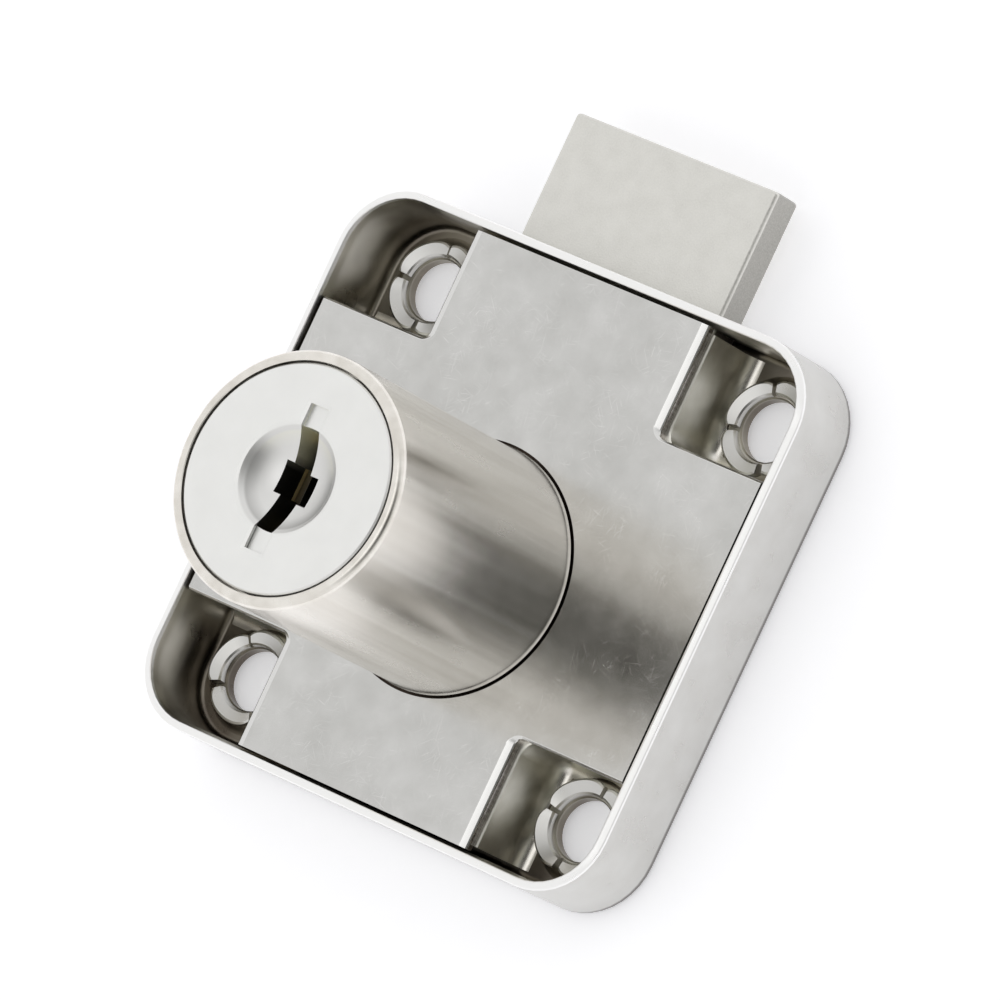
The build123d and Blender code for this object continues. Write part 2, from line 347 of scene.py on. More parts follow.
# %% [markdown]
# The case is drawn from sheet and then plated. Plating reaches the outside well and the inside
# poorly, so the inside is duller and browner, with stains where the bath stood. The floor inside
# is also painted much darker, as painted shade. The trimmed rim is painted near white as a painted
# highlight, and a dark line of painted shade follows the bend at the back, where the case meets the
# floor.

# %% Finish of the case
def case_finish():
    f = Finish("nickel_plated_case")
    inside = f.attribute("inside")
    cloud = f.noise(2.6, 3.0, contrast=1.8)
    stain = f.noise(5.0, 2.0, contrast=2.4)
    outer = f.blend(cloud, (0.605, 0.595, 0.57, 1), (0.685, 0.68, 0.66, 1))
    # Painted shade: darker within 0.75 mm of the back, along the bend where the case meets the floor.
    bend = ((CASE_BACK + 0.75 - f.axis("Z")) * 5.0).clamped()
    outer = f.blend(bend, outer, (0.24, 0.23, 0.22, 1))
    # The inside floor is painted much darker than the walls, as painted shade.
    floor = f.blend(stain, (0.14, 0.12, 0.10, 1), (0.40, 0.37, 0.31, 1))
    wall = f.blend(stain, (0.30, 0.28, 0.24, 1), (0.76, 0.735, 0.66, 1))
    clear_of_floor_shade = ((f.axis("Z") - CASE_FLOOR - 0.3) * 2.0).clamped()
    inner = f.blend(clear_of_floor_shade, floor, wall)
    # Painted highlight: the rim at the top is coloured near white.
    rim = ((f.axis("Z") + 0.40) * 8.0).clamped()
    colour = f.blend(rim, f.blend(inside, outer, inner), (0.97, 0.965, 0.955, 1))
    grain = f.noise(0.16, 2.0)
    roughness = 0.25 + 0.08 * cloud + 0.10 * inside * stain
    return f.metal(colour, roughness, f.bump(grain, 0.25, 0.006))


# %% [markdown]
# The cover plate is blanked from polished sheet. It mirrors the barrel softly, and it is the
# surface that fingers and other parts have rubbed, so it has short scratches in every direction.
# Its edge shows the press: a slope at the top, painted brighter as a painted highlight, and torn,
# darker metal below.

# %% Finish of the cover plate
SCRATCH_WAYS = 6


def cover_finish():
    f = Finish("polished_cover")
    cloud = f.noise(1.7, 4.0, contrast=2.2)
    wide = f.noise(7.0, 2.0, contrast=1.6)
    marks = sum(f.scratches(0.3 + 0.53 * way, 0.07, 1.1 + 0.4 * way, 0.22) for way in range(SCRATCH_WAYS))
    marks = (marks * f.noise(4.5, 1.0, contrast=3.0)).clamped()
    tone = cloud * 0.35 + wide * 0.65
    plain = f.blend(tone, (0.54, 0.535, 0.515, 1), (0.71, 0.705, 0.69, 1))
    rubbed = f.blend(marks * 0.4, plain, (0.86, 0.855, 0.84, 1))
    teeth = f.noise_at(f.stretched((7000, 7000, 500)), detail=1.0, contrast=1.6)
    sheared = f.blend(teeth, (0.28, 0.25, 0.24, 1), (0.58, 0.56, 0.54, 1))
    upward = f.facing("Z")
    # Painted highlight: faces a little off flat, the rolled edge, get a brighter colour.
    drawn = f.blend(((0.985 - upward) * 40.0).clamped(), rubbed, (0.76, 0.755, 0.74, 1))
    colour = f.blend(((0.35 - upward) * 6.0).clamped(), drawn, sheared)
    roughness = 0.14 + 0.04 * wide + 0.04 * cloud + 0.08 * marks
    height = f.noise(4.0, 1.0) - 0.04 * marks
    return f.metal(colour, roughness, f.bump(height, 0.25, 0.010))


# %% [markdown]
# The barrel is ground lengthwise before plating. That leaves faint streaks along its axis and
# draws out what it mirrors, which is the work of the shader's Anisotropic. Under the cover the
# casting is stained, and the narrow gap round the barrel's foot is painted near black as painted shade.

# %% Finish of the cast housing
def housing_finish():
    f = Finish("satin_barrel")
    streaks = f.noise_at(f.stretched((800, 800, 15)), contrast=2.2)
    cloud = f.noise(2.2, 2.0, contrast=1.5)
    above_floor = ((f.axis("Z") - CASE_FLOOR - 0.15) * 5.0).clamped()
    under_cover = (cover_high.z - 0.1 - f.axis("Z")).clamped() * above_floor
    stain = f.noise(2.4, 3.0, contrast=2.4)
    outer = f.blend(streaks, (0.74, 0.705, 0.645, 1), (0.90, 0.87, 0.815, 1))
    inner = f.blend(stain, (0.74, 0.73, 0.64, 1), (0.96, 0.95, 0.87, 1))
    plated = f.blend(under_cover, outer, inner)
    # Painted shade: the barrel's foot down in the cover's hole is coloured near black.
    gap_painted_shade = ((-0.22 - f.axis("Z")) * 12.0).clamped() * ((9.9 - f.radius()) * 4.0).clamped()
    colour = f.blend(gap_painted_shade, plated, (0.06, 0.045, 0.035, 1))
    roughness = 0.20 + 0.06 * streaks + 0.04 * cloud + 0.12 * under_cover
    ground = {"Anisotropic": 0.45, "Anisotropic Rotation": 0.25}
    return f.metal(colour, roughness, **ground)


# %% [markdown]
# The plug's face is blasted fine before plating, so it is the lightest and mattest nickel here.
# The dish in its middle is painted a little darker as painted shade in the hollow. The walls of the
# slots and the keyway are painted dark as painted shade, darker with depth, and painted light on
# the keyway's +Y end near the face.

# %% Finish of the plug
DISH_EDGE = 3.8


def plug_finish():
    f = Finish("matt_plug")
    grain = f.noise(0.09, 2.0)
    cloud = f.noise(2.0, 2.0, contrast=1.4)
    # Painted shade: the walls of the slots darken with depth.
    depth_painted_shade = ((FACE_Z - 2.2 - f.axis("Z")) * 0.4).clamped()
    flat = ((f.radius() - DISH_EDGE + 0.1) * 10.0).clamped()
    # Painted shade: the dish is coloured darker than the flat face.
    dish_painted_shade = f.blend(cloud, (0.76, 0.755, 0.74, 1), (0.82, 0.815, 0.80, 1))
    outer_face = f.blend(cloud, (0.86, 0.86, 0.84, 1), (0.91, 0.91, 0.89, 1))
    face = f.blend(flat, dish_painted_shade, outer_face)
    # Painted light: the keyway's walls near the face on the +Y side are coloured bright.
    rubbed = (1.0 - depth_painted_shade) * (f.axis("Y") - 0.8).clamped()
    slot_walls_painted_light = f.blend(rubbed, (0.05, 0.05, 0.045, 1), (0.95, 0.94, 0.80, 1))
    upright = ((0.9 - f.facing("Z")) * 4.0).clamped()
    in_slots = upright * ((FACE_Z - 0.3 - f.axis("Z")) * 9.0).clamped()
    colour = f.blend(in_slots * ((5.6 - f.radius()) * 4.0).clamped(), face, slot_walls_painted_light)
    roughness = 0.36 + 0.06 * grain + 0.15 * in_slots
    return f.metal(colour, roughness, f.bump(grain, 0.2, 0.006))


# %% [markdown]
# The bolt is a tumbled zinc bar: matt, warm and finely speckled all over. Its sides are painted
# darker than its flats, as painted shade.

# %% Finish of the bolt
def bolt_finish():
    f = Finish("tumbled_bolt")
    speck = f.noise(0.13, 3.0, contrast=2.0)
    cloud = f.noise(1.6, 3.0, contrast=1.8)
    base = f.blend(cloud, (0.68, 0.67, 0.63, 1), (0.76, 0.75, 0.71, 1))
    worn = f.blend(speck * 0.5, base, (0.86, 0.85, 0.81, 1))
    # Painted shade: the sides get this darker colour, with the same specks.
    side_painted_shade = f.blend(speck, (0.38, 0.37, 0.345, 1), (0.52, 0.51, 0.48, 1))
    side = ((f.facing("Z") - 0.35) * -4.0).clamped()
    colour = f.blend(side, worn, side_painted_shade)
    roughness = 0.40 + 0.10 * speck
    return f.metal(colour, roughness, f.bump(speck, 0.7, 0.014))


# %% [markdown]
# The small works are plain: stamped brass wafers, bright spring wire, zinc-plated steel for the
# cam, and soft steel rivets whose ends were peened flat.

# %% Finishes of the small works
def plain_metal(name, dark, light, size_mm, roughness, relief):
    """A metal with one scale of mottling."""
    f = Finish(name)
    mottle = f.noise(size_mm, 3.0, contrast=1.8)
    colour = f.blend(mottle, dark, light)
    return f.metal(colour, roughness + 0.10 * mottle, f.bump(mottle, relief, 0.01))


CASE = case_finish()
COVER = cover_finish()
HOUSING = housing_finish()
PLUG = plug_finish()
BOLT = bolt_finish()
BRASS = plain_metal("stamped_brass", (0.50, 0.38, 0.17, 1), (0.66, 0.53, 0.27, 1), 0.4, 0.28, 0.2)
WIRE = plain_metal("spring_wire", (0.42, 0.42, 0.42, 1), (0.62, 0.62, 0.61, 1), 0.2, 0.22, 0.1)
ZINCED = plain_metal("zinced_steel", (0.50, 0.50, 0.47, 1), (0.68, 0.68, 0.66, 1), 0.7, 0.30, 0.2)
PEENED = plain_metal("peened_steel", (0.42, 0.42, 0.40, 1), (0.66, 0.65, 0.63, 1), 0.35, 0.30, 0.5)
print("materials:", len(bpy.data.materials))

# %% [markdown]
# ## Tools for the meshes
#
# Three shapes make nearly all of the lock: a profile spun about an axis, a stack of rings that a
# skin is drawn over, and a flat outline that is given a thickness. What is left is cut out.

# %% Outlines and profiles
def arc(x, z, radius, start, end, steps):
    """Points on an arc, with the angles in degrees."""
    angles = [math.radians(start + (end - start) * i / steps) for i in range(steps + 1)]
    return [(x + radius * math.cos(a), z + radius * math.sin(a)) for a in angles]


def rounded_box(half_x, half_y, radius, centre, steps=10):
    """A rectangle's outline with round corners."""
    points = []
    for quarter, (sx, sy) in enumerate(((1, 1), (-1, 1), (-1, -1), (1, -1))):
        bend_x = centre[0] + sx * (half_x - radius)
        bend_y = centre[1] + sy * (half_y - radius)
        points += arc(bend_x, bend_y, radius, 90 * quarter, 90 * quarter + 90, steps)
    return points


def round_ended(half_width, radius, steps=12):
    """A straight slot along Y, about the barrel's axis, whose ends lie on a circle."""
    spread = math.degrees(math.asin(half_width / radius))
    ends = [arc(0, 0, radius, middle - spread, middle + spread, steps) for middle in (90, 270)]
    return ends[0] + ends[1]


def cross_outline(neck, arm, reach, radius, steps=5):
    """A square plate's outline with its corners notched out, with round inner corners."""
    points = []
    for sx, sy in ((1, 1), (-1, 1), (-1, -1), (1, -1)):
        bend = arc(neck + radius, arm + radius, radius, 270, 180, steps)
        quarter = [(reach, arm), *bend, (neck, reach)]
        quarter = [(sx * x, MIDDLE_Y + sy * y) for x, y in quarter]
        points += quarter if sx * sy > 0 else quarter[::-1]
    return points


# %% [markdown]
# Each solid is built in millimetres, point by point, and is scaled to metres at the end.

# %% Solids
def as_piece(name, mesh_work):
    """A new object from a bmesh whose points are in millimetres."""
    bmesh.ops.remove_doubles(mesh_work, verts=mesh_work.verts, dist=1e-4)
    bmesh.ops.recalc_face_normals(mesh_work, faces=mesh_work.faces)
    bmesh.ops.scale(mesh_work, vec=(MM, MM, MM), verts=mesh_work.verts)
    mesh = bpy.data.meshes.new(name)
    mesh_work.to_mesh(mesh)
    mesh_work.free()
    piece = bpy.data.objects.new(name, mesh)
    scene.collection.objects.link(piece)
    return piece


def skin(name, rings):
    """A closed solid drawn over a stack of rings that have the same number of points."""
    work = bmesh.new()
    loops = [[work.verts.new(point) for point in ring] for ring in rings]
    for lower, upper in zip(loops, loops[1:]):
        for i, vertex in enumerate(lower):
            j = (i + 1) % len(lower)
            work.faces.new((vertex, lower[j], upper[j], upper[i]))
    work.faces.new(loops[0])
    work.faces.new(loops[-1])
    return as_piece(name, work)


def slab(name, outline, low, high):
    """A flat outline with a thickness along Z."""
    return skin(name, [[(x, y, z) for x, y in outline] for z in (low, high)])


def spun(name, profile, steps=128, centre=(0.0, 0.0), closed=False):
    """A profile of (radius, height) points spun about a vertical axis."""
    work = bmesh.new()
    loops = []
    for i in range(steps):
        turn = 2 * math.pi * i / steps
        x, y = math.cos(turn), math.sin(turn)
        loops.append([work.verts.new((centre[0] + r * x, centre[1] + r * y, z)) for r, z in profile])
    rows = len(profile) if closed else len(profile) - 1
    for i, loop in enumerate(loops):
        after = loops[(i + 1) % steps]
        for row in range(rows):
            below = (row + 1) % len(profile)
            work.faces.new((loop[row], after[row], after[below], loop[below]))
    return as_piece(name, work)


def post(name, radius, low, high, centre=(0.0, 0.0), steps=48):
    """A round bar that stands at a place."""
    return spun(name, [(0, low), (radius, low), (radius, high), (0, high)], steps, centre)


def brick(name, low, high):
    """A box between two corners."""
    outline = [(low[0], low[1]), (high[0], low[1]), (high[0], high[1]), (low[0], high[1])]
    return slab(name, outline, low[2], high[2])


def corners(x, y):
    """Four places that lie evenly about the case's centre."""
    return [(sx * x, MIDDLE_Y + sy * y) for sx in (-1, 1) for sy in (-1, 1)]


# %% [markdown]
# Solids cut and join each other with the Boolean modifier. Every modifier is settled into plain
# mesh at once, so a finished piece holds nothing but its own faces.

# %% Cutting, shading and finishing
def settle(piece):
    """Makes the piece's modifiers part of its mesh."""
    depsgraph = bpy.context.evaluated_depsgraph_get()
    shaped = piece.evaluated_get(depsgraph)
    mesh = bpy.data.meshes.new_from_object(shaped, preserve_all_data_layers=True, depsgraph=depsgraph)
    piece.modifiers.clear()
    piece.data = mesh
    mesh.name = piece.name
    return piece


def shape_with(piece, *tools, operation="DIFFERENCE"):
    """Cuts the tools out of the piece, or joins them on, and throws the tools away."""
    for tool in tools:
        modifier = piece.modifiers.new("shape", "BOOLEAN")
        modifier.operation = operation
        modifier.solver = "EXACT"
        modifier.object = tool
        settle(piece)
        bpy.data.objects.remove(tool)
    return piece


def smooth(piece, angle=32):
    """Shades the curved faces smooth and keeps the flat ones flat."""
    mesh = piece.data
    mesh.polygons.foreach_set("use_smooth", [True] * len(mesh.polygons))
    mesh.set_sharp_from_angle(angle=math.radians(angle))
    modifier = piece.modifiers.new("even", "WEIGHTED_NORMAL")
    modifier.keep_sharp = True
    modifier.weight = 100
    return settle(piece)


def finish_piece(piece, body, material, slot, *nodes):
    """Gives a piece its finish and its body, and hides the imported nodes that it takes the place of."""
    piece.data.materials.clear()
    piece.data.materials.append(material)
    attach(piece, body)
    if nodes:
        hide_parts(*nodes)
    print(piece.name, "faces:", len(piece.data.polygons))


# %% [markdown]
# ## The case
#
# The real one is a disc of sheet drawn into a square pan, with its rim trimmed and its holes
# pierced. Here one profile runs from the back, round the bend, up the wall, over the rim and down
# inside, and a ring of the case's outline is drawn at each point of it.

# %% Draw the pan
CORNER = 5.2
BEND = 0.5
INNER_BEND = 0.4
RIM = ((0.0, 0.30), (0.03, 0.19), (0.09, 0.12), (0.38, 0.015), (0.43, 0.0), (0.54, 0.01),
       (0.60, 0.06), (0.62, 0.30), (0.68, 0.75), (0.80, 1.30))


def pan_profile():
    """(inset, height) points along the sheet, from the back to the floor inside. RIM gives drops."""
    outside = arc(BEND, CASE_BACK + BEND, BEND, 270, 180, 8)
    rim = [(inset, -drop) for inset, drop in RIM]
    inside = arc(SHEET + INNER_BEND, CASE_FLOOR + INNER_BEND, INNER_BEND, 180, 270, 5)
    return outside + rim + inside


def pan_rings():
    """The case's outline at each point of the profile."""
    rings = []
    for inset, z in pan_profile():
        half = CASE_HALF - inset
        outline = rounded_box(half, half, CORNER - inset, (0, MIDDLE_Y))
        rings.append([(x, y, z) for x, y in outline])
    return rings


case_pan = skin("case_pan", pan_rings())
print("rings in the pan:", len(pan_profile()))

# %% [markdown]
# The bolt leaves through a slot in the wall. Each screw hole is cut as wide as its whole raised
# collar, because the collar that fills it is made on its own below.

# %% Cut the bolt's slot and the holes
SCREW_STEP = 15.0
SINK = 3.1
SINK_DEPTH = 0.5
RING_REACH = 4.0
RIVET_AT = (14.3, 7.0)
RIVET_HEAD = 2.1
RIVET_SHANK = 1.2
RIVET_TOP = -2.7
BOLT_GAP = 0.15

screw_places = corners(SCREW_STEP, SCREW_STEP)
rivet_places = corners(*RIVET_AT)
slot_low = (bolt_low.x - BOLT_GAP, case_high.y - 1.4, CASE_FLOOR)
slot_high = (bolt_high.x + BOLT_GAP, case_high.y + 1.0, bolt_high.z + BOLT_GAP)
below, above = CASE_BACK - 1, CASE_FLOOR + 0.2
rivet_hole = [(0, below), (RIVET_HEAD, below), (RIVET_HEAD, CASE_BACK), (RIVET_SHANK, CASE_FLOOR),
              (RIVET_SHANK, above), (0, above)]
cutters = [brick("bolt_slot", slot_low, slot_high)]
cutters += [post("screw_hole", RING_REACH, below, above, place, 96) for place in screw_places]
cutters += [spun("rivet_hole", rivet_hole, 40, place) for place in rivet_places]
shape_with(case_pan, *cutters)
print("holes cut:", len(cutters))

# %% [markdown]
# The finish needs to know which faces are inside, so each face carries a mark.

# %% Mark the inside of the pan
def mark_inside(piece, values):
    """Stores 1 on each face that the plating bath hardly reached, which the finish paints duller and
    darker, partly as painted shade, and 0 on the others.
    """
    marks = piece.data.attributes.new("inside", "FLOAT", "FACE")
    marks.data.foreach_set("value", values)


def pan_inside(mesh):
    """1 for each face on the inner side of the sheet's middle, else 0."""
    straight = CASE_HALF - CORNER
    values = []
    for face in mesh.polygons:
        x, y, z = face.center / MM
        beyond = Vector((max(abs(x) - straight, 0), max(abs(y - MIDDLE_Y) - straight, 0)))
        within = beyond.length < CORNER - SHEET / 2
        values.append(1.0 if within and z > CASE_BACK + SHEET / 2 else 0.0)
    return values


smooth(case_pan, 20)
mark_inside(case_pan, pan_inside(case_pan.data))
finish_piece(case_pan, "frame", CASE, "nickel_plated_sheet", "case")

# %% [markdown]
# ## The screw collars
#
# Each hole was pierced with a star punch and pressed inwards, so its lip is torn into petals. The
# four holes are alike and no two petals are, which is work for Geometry Nodes: a petal is set four
# times round a hole with a little random tilt and size, with the hole's ring under it, on each of
# the four corners of a grid.

# %% The ring and one petal
COLLAR_TOP = CASE_FLOOR + 0.90
HOLE = 2.25
PETALS = 4
PETAL_STEPS = 16
TEAR = 3.5


def collar_ring():
    """The countersunk ring under the petals, centred on the hole."""
    top = COLLAR_TOP - 0.25
    profile = [(RING_REACH, CASE_BACK), (SINK, CASE_BACK), (HOLE, CASE_BACK + SINK_DEPTH),
               (HOLE, top - 0.1), (2.36, top), (3.10, top), (3.30, top - 0.1),
               (3.66, CASE_FLOOR + 0.06), (RING_REACH, CASE_FLOOR)]
    ring = smooth(spun("collar_ring", profile, 96, closed=True), 35)
    mark_inside(ring, [1.0] * len(ring.data.polygons))
    return ring


def collar_petal():
    """One part of the torn lip, with its middle on +X. Heights are from the collar's top."""
    spread = math.radians(180 / PETALS - TEAR)
    rings = []
    for i in range(PETAL_STEPS + 1):
        along = 2 * i / PETAL_STEPS - 1
        turn = along * spread
        curl = abs(along) ** 5
        section = [(2.42, -0.36), (3.42 - 0.2 * curl, -0.36), (3.60 - 0.25 * curl, 0.12),
                   (3.54 - 0.3 * curl, 0.34), (3.38 - 0.3 * curl, 0.44 - 0.1 * curl),
                   (2.60, 0.21 + 0.08 * curl), (2.46, 0.12)]
        rings.append([(r * math.cos(turn), r * math.sin(turn), z) for r, z in section])
    return smooth(skin("collar_petal", rings), 50)


# %% [markdown]
# Every geometry tree here sets copies of a shape on the corners of a rectangle, so the trees share
# these few steps.

# %% Steps of a geometry tree
def group(name, inputs):
    """A geometry tree with named inputs, its first node's outputs and its last node's input."""
    tree = bpy.data.node_groups.new(name, "GeometryNodeTree")
    tree.interface.new_socket("Geometry", in_out="OUTPUT", socket_type="NodeSocketGeometry")
    tree.interface.new_socket("Geometry", in_out="INPUT", socket_type="NodeSocketGeometry")
    for label, kind in inputs.items():
        tree.interface.new_socket(label, in_out="INPUT", socket_type="NodeSocket" + kind)
    nodes = Nodes(tree)
    return nodes, nodes.add("NodeGroupInput").outputs, nodes.add("NodeGroupOutput").inputs[0]


def four_corners(nodes, pitch_x, pitch_y, height=0.0):
    """The corners of a rectangle about the case's centre, as points."""
    sizes = {"Size X": pitch_x, "Size Y": pitch_y, "Vertices X": 2, "Vertices Y": 2}
    grid = nodes.add("GeometryNodeMeshGrid", None, sizes)
    shift = {"Geometry": grid.outputs["Mesh"], "Translation": (0, MIDDLE_Y * MM, height * MM)}
    return nodes.add("GeometryNodeTransform", None, shift).outputs[0]


def copies(nodes, points, shape, **more):
    """A copy of the shape at each point, as plain mesh. More may hold Rotation and Scale."""
    sockets = {"Points": points, "Instance": shape, **more}
    node = nodes.add("GeometryNodeInstanceOnPoints", None, sockets)
    return nodes.add("GeometryNodeRealizeInstances", None, {0: node.outputs[0]}).outputs[0]


def object_shape(nodes, thing):
    """The mesh of another object."""
    return nodes.add("GeometryNodeObjectInfo", None, {"Object": thing}).outputs["Geometry"]


def random_number(nodes, low, high, **more):
    """A number between two others, drawn anew for each point or each ID."""
    node = nodes.add("FunctionNodeRandomValue", None, {2: low, 3: high, **more})
    return nodes.value(node.outputs[1])


def paint(nodes, geometry, material, result):
    """Gives the geometry its material and ends the tree."""
    painted = nodes.add("GeometryNodeSetMaterial", None, {0: geometry, "Material": material})
    nodes.feed(result, painted.outputs[0])
    return nodes.tree


def grown(name, tree, settings, *sources):
    """A plain mesh from a geometry tree, whose inputs are set by name. The sources go."""
    piece = bpy.data.objects.new(name, bpy.data.meshes.new(name))
    scene.collection.objects.link(piece)
    modifier = piece.modifiers.new("grow", "NODES")
    modifier.node_group = tree
    names = {item.name: item.identifier for item in tree.interface.items_tree if item.in_out == "INPUT"}
    for label, value in settings.items():
        modifier[names[label]] = value
    settle(piece)
    for source in sources:
        bpy.data.objects.remove(source)
    return piece


# %% [markdown]
# The petals' points are numbered hole by hole, so a point's number tells both which hole it
# belongs to and how far round the hole it stands.

# %% Set out the petals and the rings
def petal_places(nodes, given):
    """One point for each petal: a circle of nearly no size, at the top of each hole."""
    hole_tops = four_corners(nodes, given["Pitch"], given["Pitch"], COLLAR_TOP)
    circle = nodes.add("GeometryNodeMeshCircle", None, {"Vertices": given["Petals"], "Radius": 1e-6})
    return copies(nodes, hole_tops, circle.outputs[0])


def petal_rotation(nodes, given):
    """Each hole starts at a random angle, and its petals follow evenly, each with its own lean."""
    index = nodes.value(nodes.add("GeometryNodeInputIndex").outputs[0])
    count = nodes.value(given["Petals"])
    which_hole = index.math("FLOOR", index.math("DIVIDE", index, count))
    start = random_number(nodes, 0.0, math.tau, ID=which_hole, Seed=4)
    angle = index * index.math("DIVIDE", math.tau, count) + start
    lean = random_number(nodes, -1.0, 1.0, Seed=11) * nodes.value(given["Lean"])
    return nodes.add("CombineXYZ", None, {"X": lean, "Z": angle}).outputs[0]


def collar_tree(ring, petal, material):
    """The petals and rings of the four screw holes."""
    inputs = {"Pitch": "Float", "Petals": "Int", "Lean": "Float"}
    nodes, given, result = group("collars", inputs)
    limits = {0: (0.96, 0.94, 0.75), 1: (1.03, 1.0, 1.3), "Seed": 5}
    size = nodes.add("FunctionNodeRandomValue", {"data_type": "FLOAT_VECTOR"}, limits).outputs[0]
    petals = copies(nodes, petal_places(nodes, given), object_shape(nodes, petal),
                    Rotation=petal_rotation(nodes, given), Scale=size)
    holes = four_corners(nodes, given["Pitch"], given["Pitch"])
    whole = nodes.add("GeometryNodeJoinGeometry", None, {0: petals})
    nodes.feed(whole.inputs[0], copies(nodes, holes, object_shape(nodes, ring)))
    return paint(nodes, whole.outputs[0], material, result)


ring, petal = collar_ring(), collar_petal()
collar_sizes = {"Pitch": 2 * SCREW_STEP * MM, "Petals": PETALS, "Lean": 0.13}
collars = grown("screw_collars", collar_tree(ring, petal, CASE), collar_sizes, ring, petal)
smooth(collars, 26)
finish_piece(collars, "frame", CASE, "nickel_plated_sheet")

# %% [markdown]
# ## The case's rivets
#
# Four blind rivets come up through the case's back into bosses of the casting. Their heads are
# peened flush, with a shallow dimple from the tool. One rivet is spun, and a small tree sets it on
# the corners of a rectangle.

# %% Spin one rivet and set out four
def rivet_shape():
    """One rivet, from the dimple in its head to its top."""
    profile = [(0, CASE_BACK + 0.22), (0.8, CASE_BACK + 0.16), (1.25, CASE_BACK + 0.02),
               (1.5, CASE_BACK), (RIVET_HEAD - 0.06, CASE_BACK + 0.02),
               (RIVET_HEAD - 0.03, CASE_BACK + 0.07), (RIVET_SHANK, CASE_FLOOR),
               (RIVET_SHANK, RIVET_TOP), (0, RIVET_TOP)]
    return spun("rivet_shape", profile, 40)


def rivet_tree(rivet, material):
    """Four rivets on the corners of a rectangle."""
    nodes, given, result = group("rivets", {"Pitch X": "Float", "Pitch Y": "Float"})
    points = four_corners(nodes, given["Pitch X"], given["Pitch Y"])
    return paint(nodes, copies(nodes, points, object_shape(nodes, rivet)), material, result)


rivet = rivet_shape()
rivet_sizes = {"Pitch X": 2 * RIVET_AT[0] * MM, "Pitch Y": 2 * RIVET_AT[1] * MM}
rivets = grown("peened_rivets", rivet_tree(rivet, PEENED), rivet_sizes, rivet)
smooth(rivets, 40)
finish_piece(rivets, "frame", PEENED, "rivet_steel", "case_rivets")

# %% [markdown]
# ## The cover plate
#
# A blanking press drags the sheet's top down along the cut, which leaves a shallow slope half a
# millimetre wide, and below it a band where the sheet sheared. The slope is drawn as rings of the
# same cross, each set in a little more, and the barrel's hole is cut through afterwards. The plate
# reaches a little nearer to the case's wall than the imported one, so that the gap is a thin line.

# %% Draw the cover
NEARER = 0.2
COVER_HALF = (cover_high.x - cover_low.x) / 2 + NEARER
COVER_NECK = 10.4
COVER_ARM = 11.25
NOTCH_CORNER = 0.5
ROLL_OVER = ((0.0, 0.34), (0.04, 0.24), (0.12, 0.17), (0.54, 0.025), (0.68, 0.0))
COVER_HOLE = 9.28
COVER_UNDER = cover_high.z - SHEET
PIP = 0.9


def cover_rings():
    """The cross at the plate's underside and at each step of the slope."""
    steps = [(0.0, COVER_UNDER)] + [(inset, cover_high.z - drop) for inset, drop in ROLL_OVER]
    rings = []
    for inset, z in steps:
        outline = cross_outline(COVER_NECK - inset, COVER_ARM - 0.3 * inset, COVER_HALF,
                                NOTCH_CORNER + inset, 10)
        rings.append([(x, y, z) for x, y in outline])
    return rings


cover = skin("cover", cover_rings())
shape_with(cover, post("barrel_hole", COVER_HOLE, -3, 1, steps=192))
pips = [post("pip", PIP, cover_low.z, COVER_UNDER + 0.1, place, 32) for place in rivet_places]
shape_with(cover, *pips, operation="UNION")
finish_piece(smooth(cover, 12), "frame", COVER, "polished_nickel_sheet", "cover_plate")

# %% [markdown]
# ## The cast housing
#
# The casting is a cross-shaped base with a channel for the bolt, and the long barrel on top. The
# base's foot flares out in a small fillet, as castings have where two walls meet. The bore is cut
# with the same tools that a machinist would use: one long stepped reamer and one broach.

# %% Draw the base
HOUSING_HALF = (housing_high.x - housing_low.x) / 2
BASE_NECK = 10.7
BASE_ARM = 10.9
BASE_CORNER = 1.4
FOOT = 1.2
WALL = 1.4
WEB_UNDER = -3.25
BOSS = 2.3
RING_ROOM = 3.75


def base_rings():
    """The base's cross, from the flare at its foot to the cover's underside."""
    foot = arc(FOOT, CASE_FLOOR + FOOT, FOOT, 270, 180, 10)
    rings = []
    for flare, z in foot + [(0.0, COVER_UNDER - 0.1), (-0.1, COVER_UNDER)]:
        outline = cross_outline(BASE_NECK + flare, BASE_ARM + flare, HOUSING_HALF, BASE_CORNER - flare)
        rings.append([(x, y, z) for x, y in outline])
    return rings


housing = skin("housing", base_rings())
base_under = CASE_FLOOR - 1
hollow_y = BASE_ARM - WALL
channel_low = (bolt_low.x - BOLT_GAP, -30, base_under)
channel_high = (bolt_high.x + BOLT_GAP, 35, WEB_UNDER)
hollows = [brick("channel", channel_low, channel_high)]
for low_x, high_x in ((-HOUSING_HALF + WALL, -BASE_NECK - 0.3), (BASE_NECK + 0.3, HOUSING_HALF - WALL)):
    hollows.append(brick("arm_hollow", (low_x, MIDDLE_Y - hollow_y, base_under),
                         (high_x, MIDDLE_Y + hollow_y, WEB_UNDER)))
hollows += [post("ring_room", RING_ROOM, base_under, WEB_UNDER, place, 64) for place in screw_places]
shape_with(housing, *hollows)
print("hollows in the base:", len(hollows))

# %% [markdown]
# Bosses in the hollow arms take the rivets from below and the cover's locating pips from above.

# %% Add the bosses and their holes
bosses = [post("boss", BOSS, CASE_FLOOR, WEB_UNDER + 0.1, place) for place in rivet_places]
shape_with(housing, *bosses, operation="UNION")
rivet_seats = [post("rivet_seat", RIVET_SHANK, base_under, RIVET_TOP, place) for place in rivet_places]
pip_seats = [post("pip_seat", PIP, cover_low.z - 0.05, 0, place) for place in rivet_places]
shape_with(housing, *rivet_seats, *pip_seats)
print("bosses:", len(bosses))

# %% [markdown]
# The barrel swells by a tenth of a millimetre just above the cover, and steps in under it. The
# broach leaves two grooves up the bore, which take the wafers when they are pushed out.

# %% Raise the barrel and bore it
BARREL = 9.0
BARREL_ROOT = 8.8
LIP = 0.5
BORE = 6.25
HEAD_BORE = 8.2
HEAD_SEAT = FACE_Z - 2.05
CAM_ROOM = 7.15
CAM_ROOM_TOP = -1.2
GROOVES = (2.85, 7.35)
GROOVE_TOP = 19.6

